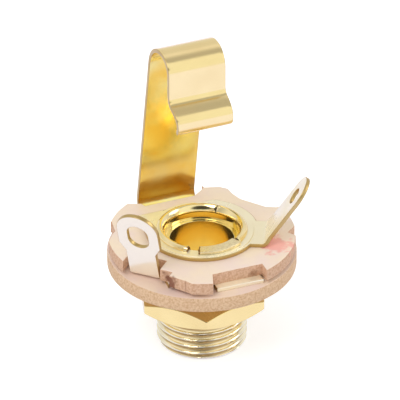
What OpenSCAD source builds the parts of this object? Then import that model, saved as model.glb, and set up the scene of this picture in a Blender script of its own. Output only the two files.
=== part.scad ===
// Panel mount jack socket, open frame, for a 6.35 mm two-pole plug.
// A threaded bushing carries a stack of two fibre wafers with the tip contact between them
// and the ground lug on top. The bushing's rolled rim clamps the stack, and a hex nut fixes
// the socket in its panel. All sizes are in millimetres.
// The origin is on the bushing's axis, in the plane where the panel seats.
// +Z runs along the axis to the rear, and the spring leaf stands on the +Y side.

/* [Bushing] */
// Major diameter of the bushing's thread
thread_d = 9.525; // [9:0.005:11]
// Length of the threaded barrel below the flange
thread_len = 7.1; // [4:0.1:12]
// Distance from one thread crest to the next
thread_pitch = 0.794; // [0.5:0.001:1.5]
// Depth of the thread
thread_depth = 0.42; // [0.2:0.01:0.6]
// Chamfer at the open end of the barrel
thread_chamfer = 0.45; // [0.1:0.05:0.9]
// Diameter of the bore that takes the plug
bore_d = 6.6; // [5.8:0.05:7.1]
// Chamfer at the mouth of the bore
mouth_chamfer = 0.3; // [0.1:0.05:0.5]
// Diameter of the flange that bears on the panel
flange_d = 12; // [11.2:0.1:15]
// Thickness of the flange
flange_t = 2.25; // [1:0.05:4]
// Chamfer on both edges of the flange
flange_chamfer = 0.2; // [0.05:0.05:0.4]
// Outside diameter of the neck that carries the stack
neck_d = 8.4; // [8:0.05:8.8]
// Diameter of the counterbore inside the neck
throat_d = 7.7; // [7.4:0.05:7.9]
// Depth of the counterbore below the ground plate
throat_depth = 0.35; // [0.1:0.05:2.5]
// Height of the cone between counterbore and bore
throat_cone = 0.35; // [0.1:0.05:0.6]

/* [Rolled rim] */
// Outer radius of the roll
rim_roll = 0.48; // [0.42:0.01:0.6]
// Height of the stretch that is pressed flat
rim_flat_h = 0.34; // [0.15:0.01:0.45]
// How much further out the flat stretch reaches
rim_flat_spread = 0.25; // [0:0.05:0.4]
// Direction of the open notch in the rim
rim_notch_angle = 236; // [200:1:260]
// Width of the open notch
rim_notch_w = 1.2; // [0.4:0.1:2]
// Direction of the crack at the far end of the flat stretch
rim_crack_angle = 304; // [280:1:330]
// Direction of the third crack
rim_back_crack_angle = 46; // [20:1:80]
// Width of the two cracks
rim_crack_w = 0.12; // [0.05:0.01:0.3]
// How far notch and cracks reach down below the roll
rim_cut_depth = 0.12; // [0.05:0.01:0.3]

/* [Hex nut] */
// Width across the flats
nut_af = 12.7; // [11.5:0.1:16]
// Thickness of the nut
nut_t = 2.4; // [1.5:0.1:4]
// Diameter of the flat ring on each face, inside the corner chamfers
nut_face_d = 12.1; // [11:0.1:15]
// Slope of the corner chamfers
nut_chamfer_angle = 30; // [15:1:40]
// Countersink at each end of the nut's thread
nut_countersink = 0.35; // [0.1:0.05:0.6]
// How far the nut is turned about the axis
nut_turn = 12; // [0:1:59]

/* [Fibre wafers] */
// Diameter of the lower wafer
wafer_d = 20.2; // [18.4:0.1:24]
// Thickness of the lower wafer
wafer_t = 1.65; // [1:0.05:3]
// How far in from the lower wafer's edge the top wafer's edge is
cover_inset = 0.2; // [0:0.05:0.8]
// Thickness of the top wafer
cover_t = 1.35; // [0.8:0.05:3]
// Chamfer on the edges of the lower wafer
wafer_chamfer = 0.12; // [0.05:0.01:0.3]
// Wall thickness of the insulating sleeve around the neck
sleeve_wall = 0.6; // [0.4:0.05:0.9]
// Distance from the leaf's root bend back to the floor of its notch in the top wafer
leaf_notch_floor = 1.05; // [0.6:0.05:1.5]
// How far the leaf's notch widens on its right
leaf_notch_flare = 1.5; // [0.5:0.1:2.5]
// Distance over which the leaf's notch widens
leaf_notch_rise = 1.1; // [0.5:0.1:2]
// Gap around the tip lug in the top wafer
lug_gap = 0.6; // [0.3:0.05:1]
// Gap at the ends of the recess over the contact's tail
tail_gap = 0.2; // [0.1:0.05:0.6]
// How far the tail stands out of that recess
tail_show = 0.25; // [0.05:0.05:0.5]
// How far the recess widens to the left, out to the wafer's edge
tail_flare = 0.7; // [0:0.05:1.2]

/* [Tip contact] */
// Thickness of the contact's sheet
contact_t = 0.45; // [0.3:0.01:0.6]
// Diameter of the ring between the wafers
contact_ring_d = 14; // [12:0.1:16]
// Width of the tail opposite the spring leaf
tail_w = 5.2; // [3:0.1:7]
// Sideways place of the tail
tail_x = 0.85; // [-1:0.05:1.5]
// Reach of the tail from the axis
tail_reach = 8.7; // [7.5:0.05:9]
// Direction of the tip solder lug
tip_lug_angle = 225; // [215:1:235]
// Sideways offset of the tip solder lug from the axis
tip_lug_offset = -3.2; // [-4:0.1:-2]
// Distance of the lug's bend from the axis
tip_lug_bend = 6.95; // [6:0.05:7.6]
// How far the tip lug is bent up
tip_lug_rise = 72; // [40:1:90]
// Length of the tip lug beyond its bend
tip_lug_len = 8.9; // [6:0.1:12]
// Width of the tip lug's foot and neck
tip_lug_neck_w = 3.4; // [2.4:0.1:4.4]
// Width of the tip lug's head
tip_lug_head_w = 4.7; // [3.6:0.1:6]
// Length of the neck before the lug widens to its head
tip_lug_neck_len = 3.3; // [2:0.1:4.5]
// Length over which it widens
tip_lug_flare = 1.1; // [0.5:0.1:2]
// Width of the slot in the tip lug
tip_slot_w = 2.3; // [1:0.1:3]
// Length of the slot in the tip lug
tip_slot_len = 3.2; // [2:0.1:4]
// How far the slot's middle lies in from the centre of the lug's round end
tip_slot_inset = 0.8; // [0.4:0.05:1.2]
// Width of the flat shoulder beside the tip lug
shoulder_w = 1.4; // [0.6:0.1:2]
// Reach of the flat shoulder along the lug's direction
shoulder_reach = 8.7; // [7.5:0.05:9]

/* [Spring leaf] */
// Width of the leaf
leaf_w = 6.4; // [4:0.1:7]
// Sideways place of the leaf
leaf_x = -0.3; // [-1:0.05:0.5]
// Distance of the leaf's root bend from the axis
leaf_bend_y = 8.4; // [7.9:0.05:8.9]
// Inner radius of the root bend
leaf_bend_r = 0.9; // [0.5:0.05:1.2]
// How far the leaf leans in over the bore, from upright
leaf_lean = 10.3; // [5:0.1:14]
// Straight length of the leaf from root bend to hairpin
leaf_len = 19.03; // [14:0.01:24]
// Inner radius of the hairpin where it leaves the leaf
hairpin_back_r = 3.13; // [2:0.01:4]
// Straight length across the top of the hairpin
hairpin_top = 0.3; // [0.1:0.05:1]
// Inner radius of the hairpin where it enters the hook's front
hairpin_front_r = 1.5; // [1:0.05:2.5]
// Straight length of the hook's front
hook_front = 2.35; // [0.4:0.05:4]
// Turn of the hook towards the bore's centre
hook_kick = 62; // [30:1:75]
// Radius of that turn
hook_kick_r = 0.8; // [0.4:0.05:1.5]
// Straight length of the hook's slope
hook_slope = 1.15; // [0.5:0.05:3.5]
// Inner radius of the contact nose
nose_r = 1.0; // [0.6:0.05:1.6]
// Turn of the nose, from the slope to the lip
nose_turn = 120; // [80:1:150]
// Length of the lip behind the nose
lip_len = 0.4; // [0.2:0.1:1]

/* [Ground lug] */
// Thickness of the ground lug's sheet
ground_t = 0.42; // [0.3:0.01:0.7]
// Diameter of the ground plate
ground_d = 11.9; // [11:0.1:14]
// How far the plate's round is off the axis
ground_shift = 0.38; // [0:0.01:0.6]
// Direction in which it is off the axis
ground_shift_angle = 68; // [0:1:180]
// Distance of the plate's straight side from the axis, on the leaf's side
ground_flat = 5.3; // [5:0.05:6]
// Reach of that straight side to the left of the axis
ground_flat_reach = 5.1; // [4:0.1:6]
// Direction where the plate's left edge meets its round
ground_round_angle = 165; // [150:1:175]
// Diameter of the coined ring under the rim
coin_d = 10.9; // [10.3:0.1:11]
// Height of the coined ring above the plate
coin_h = 0.15; // [0.05:0.01:0.2]
// Direction of the ground lug
ground_lug_angle = -26; // [-40:1:-10]
// Distance of the ground lug's bend from the axis
ground_lug_bend = 6.45; // [6:0.05:8]
// How far the ground lug is bent up
ground_lug_rise = 57; // [30:1:90]
// Length of the ground lug beyond its bend
ground_lug_len = 7.75; // [5:0.05:11]
// Width of the strap between plate and lug
ground_strap_w = 4.7; // [3:0.1:5.5]
// Width of the ground lug
ground_lug_w = 4.2; // [3:0.1:5]
// Diameter of the hole in the ground lug
ground_hole_d = 1.7; // [1:0.1:2.6]
// How far that hole lies in from the centre of the lug's round end
ground_hole_inset = 0.3; // [0:0.05:0.8]

/* [Fits] */
// Gap at each side between the neck and what is threaded over it
stack_fit = 0.05; // [0.02:0.01:0.1]
// Gap at each side between the nut and the barrel
nut_fit = 0.04; // [0.02:0.01:0.1]

/* [Hidden] */
$fn = 96;

// Heights of the stack above the panel seat
wafer_z = flange_t;
contact_z = wafer_z + wafer_t;
cover_z = contact_z + contact_t;
ground_z = cover_z + cover_t;
plate_top = ground_z + ground_t;
rim_z = plate_top + coin_h;

// Radii
bore_r = bore_d/2;
thread_r = thread_d/2;
flange_r = flange_d/2;
neck_r = neck_d/2;
throat_r = throat_d/2;
throat_z = ground_z - throat_depth;
sleeve_r = neck_r + stack_fit + sleeve_wall;
cover_r = wafer_d/2 - cover_inset;
nut_corner_r = nut_af/2/cos(30);
far = wafer_d; // longer than any notch is deep
thread_turns = floor((thread_len - thread_chamfer)/thread_pitch);

// Corners of one groove of the thread, as shares of its pitch and of its depth
thread_groove = [[0.12, 0], [0.45, 1], [0.55, 1], [0.88, 0]];

// Chips and notches around the top wafer's edge, each a list of corners [direction, depth]
cover_edge = [
    // behind the ground lug
    [[11.5, -0.1], [12, 0.4], [16.5, 1.25], [37.5, 1.85], [46, 1.25], [51, 0.5], [57, 0.35],
        [67, 0.65], [69, -0.1]],
    // on the left
    [[144, 0.1], [155, 0.75], [158.5, 0.45], [168, -0.1]],
    // between the tip lug and the front tab
    [[222, 1], [237.5, 0.4], [239, -0.1]],
    // on the right
    [[336, -0.1], [340, 0.85], [348, -0.1]]
];

// The leaf in the plane that holds its bends: x is the distance from the axis, y the height
leaf_heading = 90 + leaf_lean;
leaf_bend_centre = [leaf_bend_y, cover_z + leaf_bend_r];
leaf_root = leaf_bend_centre
    + (leaf_bend_r + contact_t/2)*[sin(leaf_heading), -cos(leaf_heading)];
// Each step of the leaf: straight length, turn in degrees (left is positive), inner radius
leaf_steps = [
    [leaf_len, 180 - leaf_heading, hairpin_back_r],
    [hairpin_top, 90, hairpin_front_r],
    [hook_front, -hook_kick, hook_kick_r],
    [hook_slope, nose_turn, nose_r],
    [lip_len, 0, 0]
];

// Section of a sheet bent through turn degrees, less than 180 either way:
// it starts on the origin, heading along +x
module sheet_bend(turn, r, t) {
    side = sign(turn);
    reach = 2*(r + t);
    translate([0, side*(r + t/2)])
        intersection() {
            difference() {
                circle(r = r + t);
                circle(r = r);
            }
            translate([0, -reach]) square([reach, 2*reach]);
            rotate(turn) translate([-reach, -reach]) square([reach, 2*reach]);
        }
}

// Section of a sheet that follows the steps from number i on
module sheet_path(steps, t, i = 0) {
    straight = steps[i][0];
    turn = steps[i][1];
    r = steps[i][2];
    translate([0, -t/2]) square([straight, t]);
    if (turn != 0)
        translate([straight, 0]) {
            sheet_bend(turn, r, t);
            translate([0, sign(turn)*(r + t/2)])
                rotate(turn)
                    translate([0, -sign(turn)*(r + t/2)])
                        if (i + 1 < len(steps)) sheet_path(steps, t, i + 1);
        }
}

// Stands a section of the leaf up in its place, w wide
module stand_leaf(w) {
    translate([leaf_x - w/2, 0, 0]) rotate([90, 0, 90]) linear_extrude(w) children();
}

// Turns a strip of width w, coming along +x at height 0, up through rise degrees;
// the children start where the bend ends, flat on their own x-y plane
module bend_up(w, r, rise, t) {
    translate([0, 0, t + r]) {
        rotate([90, 0, 0])
            rotate_extrude(angle = rise, start = 270)
                translate([r, -w/2]) square([t, w]);
        rotate([0, -rise, 0]) translate([0, 0, -t - r]) children();
    }
}

// Outline of a slot with round ends, along x, with its middle on the origin
module slot(w, length) {
    reach = (length - w)/2;
    translate([-reach, -w/2]) square([2*reach, w]);
    for (side = [-1, 1]) translate([side*reach, 0]) circle(d = w);
}

// Corners of the thread, as rings, from the barrel's end up to the flange
function thread_corners() = [
    for (turn = [0:thread_turns - 1], corner = thread_groove) [
        thread_r - corner[1]*thread_depth,
        thread_chamfer - thread_len + (turn + corner[0])*thread_pitch
    ]
];

// Section of barrel, flange and neck, with the rim rolled out over the ground plate
module bushing_section() {
    polygon(concat([
        [bore_r + mouth_chamfer, -thread_len],
        [thread_r - thread_chamfer, -thread_len],
        [thread_r, thread_chamfer - thread_len]
    ], thread_corners(), [
        [thread_r, 0],
        [flange_r - flange_chamfer, 0],
        [flange_r, flange_chamfer],
        [flange_r, flange_t - flange_chamfer],
        [flange_r - flange_chamfer, flange_t],
        [neck_r, flange_t],
        [neck_r, rim_z],
        [throat_r, rim_z],
        [throat_r, throat_z],
        [bore_r, throat_z - throat_cone],
        [bore_r, mouth_chamfer - thread_len]
    ]));
    translate([throat_r + rim_roll, rim_z])
        intersection() {
            circle(r = rim_roll);
            translate([-rim_roll, 0]) square([2*rim_roll, rim_roll]);
        }
}

// A radial cut through the rim, w wide
module rim_cut(angle, w) {
    rotate(angle) translate([bore_r, -w/2, rim_z - rim_cut_depth])
        cube([flange_r, w, rim_cut_depth + 2*rim_roll]);
}

module bushing() {
    flat_turn = rim_crack_angle - rim_notch_angle;
    spread_r = throat_r + rim_roll;
    color("gold") difference() {
        union() {
            rotate_extrude() bushing_section();
            rotate_extrude(angle = flat_turn, start = rim_notch_angle)
                translate([spread_r, rim_z])
                    square([rim_roll + rim_flat_spread, rim_flat_h]);
        }
        rotate_extrude(angle = flat_turn, start = rim_notch_angle)
            translate([bore_r, rim_z + rim_flat_h]) square([flange_r - bore_r, rim_roll]);
        rim_cut(rim_notch_angle, rim_notch_w);
        rim_cut(rim_crack_angle, rim_crack_w);
        rim_cut(rim_back_crack_angle, rim_crack_w);
    }
}

module hex_nut() {
    outer = nut_corner_r + nut_countersink; // past the corners
    drop = (outer - nut_face_d/2)*tan(nut_chamfer_angle);
    hole_r = thread_r + nut_fit;
    color("gold") translate([0, 0, -nut_t]) rotate(nut_turn) difference() {
        intersection() {
            cylinder(r = nut_corner_r, h = nut_t, $fn = 6);
            rotate_extrude() polygon([
                [0, 0], [nut_face_d/2, 0], [outer, drop],
                [outer, nut_t - drop], [nut_face_d/2, nut_t], [0, nut_t]
            ]);
        }
        rotate_extrude() polygon([
            [0, 0], [hole_r + nut_countersink, 0], [hole_r, nut_countersink],
            [hole_r, nut_t - nut_countersink], [hole_r + nut_countersink, nut_t], [0, nut_t]
        ]);
    }
}

module lower_wafer() {
    r = wafer_d/2;
    hole_r = sleeve_r + stack_fit;
    c = wafer_chamfer;
    color("burlywood") translate([0, 0, wafer_z]) rotate_extrude() polygon([
        [hole_r, 0], [r - c, 0], [r, c], [r, wafer_t - c], [r - c, wafer_t], [hole_r, wafer_t]
    ]);
}

module insulating_sleeve() {
    color("saddlebrown") translate([0, 0, wafer_z]) difference() {
        cylinder(r = sleeve_r, h = ground_z - wafer_z);
        cylinder(r = neck_r + stack_fit, h = ground_z - wafer_z);
    }
}

// Outline of the contact's flat part, between the wafers
module contact_outline() {
    difference() {
        union() {
            circle(d = contact_ring_d);
            translate([leaf_x - leaf_w/2, 0]) square([leaf_w, leaf_bend_y]);
            translate([tail_x - tail_w/2, -tail_reach]) square([tail_w, tail_reach]);
            rotate(tip_lug_angle) translate([0, tip_lug_offset]) {
                translate([0, -tip_lug_neck_w/2]) square([tip_lug_bend, tip_lug_neck_w]);
                translate([0, tip_lug_neck_w/2]) polygon([
                    [0, -tip_lug_neck_w/2], [tip_lug_bend, -tip_lug_neck_w/2], [tip_lug_bend, 0],
                    [shoulder_reach, shoulder_w], [0, shoulder_w]
                ]);
            }
        }
        circle(r = sleeve_r + stack_fit);
    }
}

// Outline of the tip lug beyond its bend, along +x
module tip_lug_outline() {
    head_x = tip_lug_len - tip_lug_head_w/2;
    difference() {
        union() {
            translate([head_x, 0]) circle(d = tip_lug_head_w);
            for (side = [-1, 1]) scale([1, side]) polygon([
                [0, 0], [0, tip_lug_neck_w/2], [tip_lug_neck_len, tip_lug_neck_w/2],
                [tip_lug_neck_len + tip_lug_flare, tip_lug_head_w/2],
                [head_x, tip_lug_head_w/2], [head_x, 0]
            ]);
        }
        translate([head_x - tip_slot_inset, 0]) slot(tip_slot_w, tip_slot_len);
    }
}

module tip_contact() {
    color("goldenrod") {
        translate([0, 0, contact_z]) {
            linear_extrude(contact_t) contact_outline();
            rotate(tip_lug_angle) translate([tip_lug_bend, tip_lug_offset, 0])
                bend_up(tip_lug_neck_w, contact_t, tip_lug_rise, contact_t)
                    linear_extrude(contact_t) tip_lug_outline();
        }
        stand_leaf(leaf_w)
            translate([leaf_bend_y, contact_z + contact_t/2])
                sheet_bend(leaf_heading, leaf_bend_r, contact_t);
    }
}

module tip_spring() {
    color("gold") stand_leaf(leaf_w)
        translate(leaf_root) rotate(leaf_heading) sheet_path(leaf_steps, contact_t);
}

// A notch in the top wafer's edge. Each corner is its direction and its depth in from the edge
module edge_notch(corners) {
    first = corners[0][0];
    last = corners[len(corners) - 1][0];
    polygon(concat(
        [far*[cos(first), sin(first)]],
        [for (c = corners) (cover_r - c[1])*[cos(c[0]), sin(c[0])]],
        [far*[cos(last), sin(last)]]));
}

// The notch that lets the spring leaf through, flared on both sides
module leaf_notch() {
    floor_y = leaf_bend_y - leaf_notch_floor;
    left = leaf_x - leaf_w/2;
    right = leaf_x + leaf_w/2 - lug_gap;
    rise_y = floor_y + leaf_notch_rise;
    polygon([
        [left, floor_y], [right - tail_gap, floor_y],
        [right - tail_gap + leaf_notch_flare, rise_y],
        [right - tail_gap + leaf_notch_flare, far],
        [left - leaf_notch_flare, far], [left - leaf_notch_flare, rise_y],
        [left - tail_gap, floor_y + lug_gap]
    ]);
}

// The recess over the contact's tail
module tail_recess() {
    left = tail_x - tail_w/2 - tail_gap;
    right = tail_x + tail_w/2 + tail_gap;
    floor_y = tail_show - tail_reach;
    edge_y = -sqrt(cover_r*cover_r - left*left);
    slant = tail_flare/(edge_y - floor_y);
    polygon([
        [left, floor_y], [left + slant*(far + floor_y), -far], [right, -far], [right, floor_y]
    ]);
}

module cover_notches() {
    leaf_notch();
    tail_recess();
    for (corners = cover_edge) edge_notch(corners);
}

module top_wafer() {
    color("bisque") translate([0, 0, cover_z]) linear_extrude(cover_t) difference() {
        circle(r = cover_r);
        circle(r = sleeve_r + stack_fit);
        cover_notches();
        // for the tip lug and its shoulder
        rotate(tip_lug_angle)
            translate([tip_lug_bend - lug_gap, tip_lug_offset - tip_lug_neck_w/2 - lug_gap])
                square([far, tip_lug_neck_w + shoulder_w + lug_gap + tail_gap]);
    }
}

// Outline of the ground plate and its strap
module ground_outline() {
    r = ground_d/2;
    centre = ground_shift*[cos(ground_shift_angle), sin(ground_shift_angle)];
    difference() {
        union() {
            intersection() {
                translate(centre) circle(r = r);
                translate([-far, -far]) square([2*far, far + ground_flat]);
            }
            // the corner that is left beside the straight side
            polygon([
                centre, [centre[0], ground_flat], [-ground_flat_reach, ground_flat],
                centre + (r - stack_fit)*[cos(ground_round_angle), sin(ground_round_angle)]
            ]);
            rotate(ground_lug_angle) translate([0, -ground_strap_w/2])
                square([ground_lug_bend, ground_strap_w]);
        }
        circle(r = neck_r + stack_fit);
    }
}

// Outline of the ground lug beyond its bend, along +x
module ground_lug_outline() {
    head_x = ground_lug_len - ground_lug_w/2;
    step = ground_strap_w - ground_lug_w;
    difference() {
        union() {
            translate([head_x, 0]) circle(d = ground_lug_w);
            for (side = [-1, 1]) scale([1, side]) polygon([
                [0, 0], [0, ground_strap_w/2], [step, ground_lug_w/2],
                [head_x, ground_lug_w/2], [head_x, 0]
            ]);
        }
        translate([head_x - ground_hole_inset, 0]) circle(d = ground_hole_d);
    }
}

module ground_lug() {
    color("gold") translate([0, 0, ground_z]) {
        linear_extrude(ground_t) ground_outline();
        difference() {
            cylinder(d = coin_d, h = ground_t + coin_h);
            cylinder(r = neck_r + stack_fit, h = ground_t + coin_h);
        }
        rotate(ground_lug_angle) translate([ground_lug_bend, 0, 0])
            bend_up(ground_strap_w, ground_t, ground_lug_rise, ground_t)
                linear_extrude(ground_t) ground_lug_outline();
    }
}

bushing();
hex_nut();
lower_wafer();
insulating_sleeve();
tip_contact();
tip_spring();
top_wafer();
ground_lug();
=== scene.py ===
"""Looks of the panel mount jack socket: gold-plated turned and stamped metal on fibre wafers.

Lengths in this script are in millimetres unless a name says otherwise, and meshes are scaled to
metres when they are made. The frame is the part's own: origin on the bushing's axis in the plane
of the panel seat, +Z to the rear, the spring leaf on the +Y side.
"""
import math

import bpy
import numpy as np
from mathutils import Matrix, Vector, noise
from mathutils.geometry import delaunay_2d_cdt


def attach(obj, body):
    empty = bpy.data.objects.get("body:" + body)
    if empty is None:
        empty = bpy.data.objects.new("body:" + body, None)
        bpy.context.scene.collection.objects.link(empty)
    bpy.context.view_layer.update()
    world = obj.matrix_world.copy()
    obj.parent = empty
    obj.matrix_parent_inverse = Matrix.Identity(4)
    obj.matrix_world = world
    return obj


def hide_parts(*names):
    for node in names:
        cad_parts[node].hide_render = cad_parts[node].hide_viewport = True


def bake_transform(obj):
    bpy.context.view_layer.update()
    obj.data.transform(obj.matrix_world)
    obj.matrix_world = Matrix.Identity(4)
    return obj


MM = 0.001

# Bushing
THREAD_R = 9.525 / 2
THREAD_LEN = 7.1
THREAD_PITCH = 0.794
THREAD_DEPTH = 0.42
THREAD_CHAMFER = 0.45
BORE_R = 3.38
MOUTH_CHAMFER = 0.3
FLANGE_R = 6.0
FLANGE_T = 2.25
FLANGE_CHAMFER = 0.2
NECK_R = 4.2
THROAT_R = 3.85
THROAT_DEPTH = 0.35
THROAT_CONE = 0.15

# Rolled rim
RIM_ROLL = 0.48
RIM_FLAT_H = 0.34
RIM_FLAT_SPREAD = 0.25
RIM_NOTCH = (228.2, 243.8)
RIM_CRACK = 304.0
RIM_BACK_CRACK = 46.0
RIM_CRACK_HALF = 0.7
RIM_TEAR = 1.6
RIM_INNER_DROP = 0.72
RIM_INNER_BULGE = 1.45
BUSHING_SEGMENTS = 240
BORE_MARK = 1
TORN_AND_SHADE_MARK = 2
PRESSED_MARK = 3

# Stack heights above the panel seat
WAFER_T = 1.65
COVER_T = 1.35
CONTACT_T = 0.45
GROUND_T = 0.42
COIN_H = 0.15
WAFER_Z = FLANGE_T
CONTACT_Z = WAFER_Z + WAFER_T
COVER_Z = CONTACT_Z + CONTACT_T
GROUND_Z = COVER_Z + COVER_T
RIM_Z = GROUND_Z + GROUND_T + COIN_H
THROAT_Z = GROUND_Z - THROAT_DEPTH

# Hex nut
NUT_AF = 12.7
NUT_T = 2.4
NUT_FACE_R = 6.05
NUT_SLOPE = math.tan(math.radians(30))
NUT_TURN = 12.0
NUT_HOLE_R = THREAD_R + 0.04
NUT_COUNTERSINK = 0.35

# Wafers
WAFER_R = 10.1
COVER_R = 9.9
SLEEVE_R = 4.85

# Tip contact
CONTACT_RING_R = 7.0
TAIL_LEFT = -1.75
TAIL_RIGHT = 3.45
TAIL_REACH = 8.7
TIP_LUG_ANGLE = 225.0
TIP_LUG_OFFSET = -3.2
TIP_LUG_BEND = 6.95
TIP_LUG_RISE = 72.0
TIP_LUG_LEN = 8.9
TIP_LUG_NECK_W = 3.4
TIP_LUG_HEAD_W = 4.7
TIP_LUG_NECK_LEN = 3.3
TIP_LUG_FLARE = 1.1
TIP_SLOT_W = 2.3
TIP_SLOT_LEN = 3.2
TIP_SLOT_INSET = 0.8
SHOULDER_W = 1.4
SHOULDER_REACH = 8.7
SHOULDER_EDGE = 8.2
LUG_RECESS_X = TIP_LUG_BEND - 0.6
LUG_RECESS_SIDE = -1.3
TAIL_SHOW = 0.25
TAIL_BREAK = 0.6

# Spring leaf
LEAF_LEFT = -3.5
LEAF_RIGHT = 2.9
LEAF_BEND_Y = 8.4
LEAF_BEND_R = 0.9
LEAF_LEAN = 10.3
LEAF_LEN = 19.03
HAIRPIN_BACK_R = 3.13
HAIRPIN_TOP = 0.3
HAIRPIN_FRONT_R = 1.5
HOOK_FRONT = 2.35
HOOK_KICK = 62.0
HOOK_KICK_R = 0.8
HOOK_SLOPE = 1.15
NOSE_R = 1.0
NOSE_TURN = 120.0
LIP_LEN = 0.4
LIP_CORNER_R = 0.45
HOOK_TAPER = 0.3
HOOK_CROWN = 16.0

# Ground lug
GROUND_R = 5.95
GROUND_SHIFT = 0.38
GROUND_SHIFT_ANGLE = 68.0
GROUND_FLAT = 5.3
GROUND_FLAT_REACH = 5.1
GROUND_ROUND_ANGLE = 165.0
COIN_R = 5.45
GROUND_LUG_ANGLE = -26.0
GROUND_LUG_BEND = 6.45
GROUND_LUG_RISE = 57.0
GROUND_LUG_LEN = 7.75
GROUND_STRAP_W = 4.7
GROUND_LUG_W = 4.2
GROUND_HOLE_R = 0.85
GROUND_HOLE_INSET = 0.3


def to_xy(angle, r):
    """The point at radius r in the direction angle, in degrees."""
    a = math.radians(angle)
    return (r * math.cos(a), r * math.sin(a))


def arc(centre, r, a0, a1, step=6.0):
    """Points on an arc from a0 to a1 degrees, both ends included."""
    n = max(2, int(math.ceil(abs(a1 - a0) / step)) + 1)
    return [
        (centre[0] + r * math.cos(math.radians(a)), centre[1] + r * math.sin(math.radians(a)))
        for a in np.linspace(a0, a1, n)
    ]


def wobble(x, y, z, scale, seed=0.0):
    """Smooth noise from -1 to 1 at a place in millimetres, with features about scale long."""
    return noise.noise(Vector((x / scale + seed, y / scale - seed, z / scale + 2 * seed)))


# Meshes


def new_piece(name, verts, faces, marks=None, sharp=35.0):
    """A mesh object from points in millimetres, shaded smooth except across sharp edges.

    marks gives each face the index of its material.
    """
    mesh = bpy.data.meshes.new(name)
    mesh.from_pydata([tuple(c * MM for c in v) for v in verts], [], faces)
    if marks:
        mesh.polygons.foreach_set("material_index", marks)
    mesh.update()
    mesh.shade_smooth()
    mesh.set_sharp_from_angle(angle=math.radians(sharp))
    piece = bpy.data.objects.new(name, mesh)
    bpy.context.scene.collection.objects.link(piece)
    return piece


def grid_faces(rows, cols, closed_rows=False, closed_cols=False, start=0):
    """Quads of a grid of points stored row by row."""
    faces = []
    for i in range(rows if closed_rows else rows - 1):
        for j in range(cols if closed_cols else cols - 1):
            a, b = i * cols + j, i * cols + (j + 1) % cols
            c, d = (i + 1) % rows * cols + (j + 1) % cols, (i + 1) % rows * cols + j
            faces.append(tuple(start + k for k in (a, b, c, d)))
    return faces


def rounded_profile(corners, steps=4):
    """A closed section of (r, z, radius) corners, each corner rounded to its radius."""
    points = []
    n = len(corners)
    for i, (r, z, radius) in enumerate(corners):
        here = Vector((r, z))
        back = Vector(corners[i - 1][:2]) - here
        ahead = Vector(corners[(i + 1) % n][:2]) - here
        if radius <= 0:
            points.append((r, z))
            continue
        half = back.angle(ahead) / 2
        cut = min(radius / math.tan(half), 0.45 * back.length, 0.45 * ahead.length)
        start, end = here + cut * back.normalized(), here + cut * ahead.normalized()
        for k in range(steps + 1):
            t = k / steps
            point = (1 - t) ** 2 * start + 2 * t * (1 - t) * here + t**2 * end
            points.append((point.x, point.y))
    return points


def revolve(points, segments, shape=None):
    """Points and faces of a closed section turned once around the axis.

    shape(r, z, angle) may move each point and returns its new (r, z).
    """
    verts = []
    for r, z in points:
        for j in range(segments):
            a = 2 * math.pi * j / segments
            rr, zz = shape(r, z, a) if shape else (r, z)
            verts.append((rr * math.cos(a), rr * math.sin(a), zz))
    return verts, grid_faces(len(points), segments, closed_rows=True, closed_cols=True)


def offset_loop(loop, distance):
    """A loop moved to its left by distance, with mitred corners."""
    points = np.array(loop, float)
    ahead = np.roll(points, -1, 0) - points
    ahead /= np.linalg.norm(ahead, axis=1)[:, None]
    back = np.roll(ahead, 1, 0)
    normal = np.stack([-(ahead + back)[:, 1], (ahead + back)[:, 0]], 1)
    normal /= np.maximum(np.linalg.norm(normal, axis=1), 1e-9)[:, None]
    left = np.stack([-ahead[:, 1], ahead[:, 0]], 1)
    mitre = distance / np.clip((normal * left).sum(1), 0.5, 1)
    return points + normal * mitre[:, None]


def sheet(loops, thickness, edge, inner_points, steps=3):
    """A flat sheet between heights 0 and thickness, with its edges rounded to edge.

    The first loop is the outline, counter-clockwise, and the others are holes, clockwise.
    inner_points are further points of the flat faces. It returns points, faces and a mark for
    each face: 0 for the flat faces and 1 for the cut edges.
    """
    inset = [offset_loop(loop, edge) for loop in loops]
    flat = [Vector(p) for ring in inset for p in ring]
    edges, start = [], 0
    for ring in inset:
        n = len(ring)
        edges += [(start + k, start + (k + 1) % n) for k in range(n)]
        start += n
    flat += [Vector(p) for p in inner_points]
    cells, _, tris, origin, _, _ = delaunay_2d_cdt(flat, edges, [], 1, 1e-6)
    tris = [t for t in tris if inside_loops(sum((cells[k] for k in t), Vector((0, 0))) / 3, inset)]
    index = {}
    for k, sources in enumerate(origin):
        for s in sources:
            index[s] = k
    verts = [(p.x, p.y, thickness) for p in cells] + [(p.x, p.y, 0.0) for p in cells]
    faces = [tuple(t) for t in tris] + [tuple(k + len(cells) for k in reversed(t)) for t in tris]
    marks = [0] * len(faces)
    start = 0
    for loop, ring in zip(loops, inset):
        n = len(loop)
        loop = np.array(loop, float)
        rows = [[index[start + k] for k in range(n)]]
        for k in range(1, 2 * steps + 2):
            if k <= steps:
                a = math.pi / 2 * k / steps
                share, height = math.sin(a), thickness - edge * (1 - math.cos(a))
            else:
                a = math.pi / 2 * (2 * steps + 1 - k) / steps
                share, height = math.sin(a), edge * (1 - math.cos(a))
            if k == 2 * steps + 1:
                rows.append([index[start + j] + len(cells) for j in range(n)])
                continue
            ring_now = ring + (loop - ring) * share
            rows.append([len(verts) + j for j in range(n)])
            verts += [(p[0], p[1], height) for p in ring_now]
        for upper, lower in zip(rows, rows[1:]):
            for j in range(n):
                k = (j + 1) % n
                faces.append((upper[k], upper[j], lower[j], lower[k]))
                marks.append(1)
        start += n
    return verts, faces, marks


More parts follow.
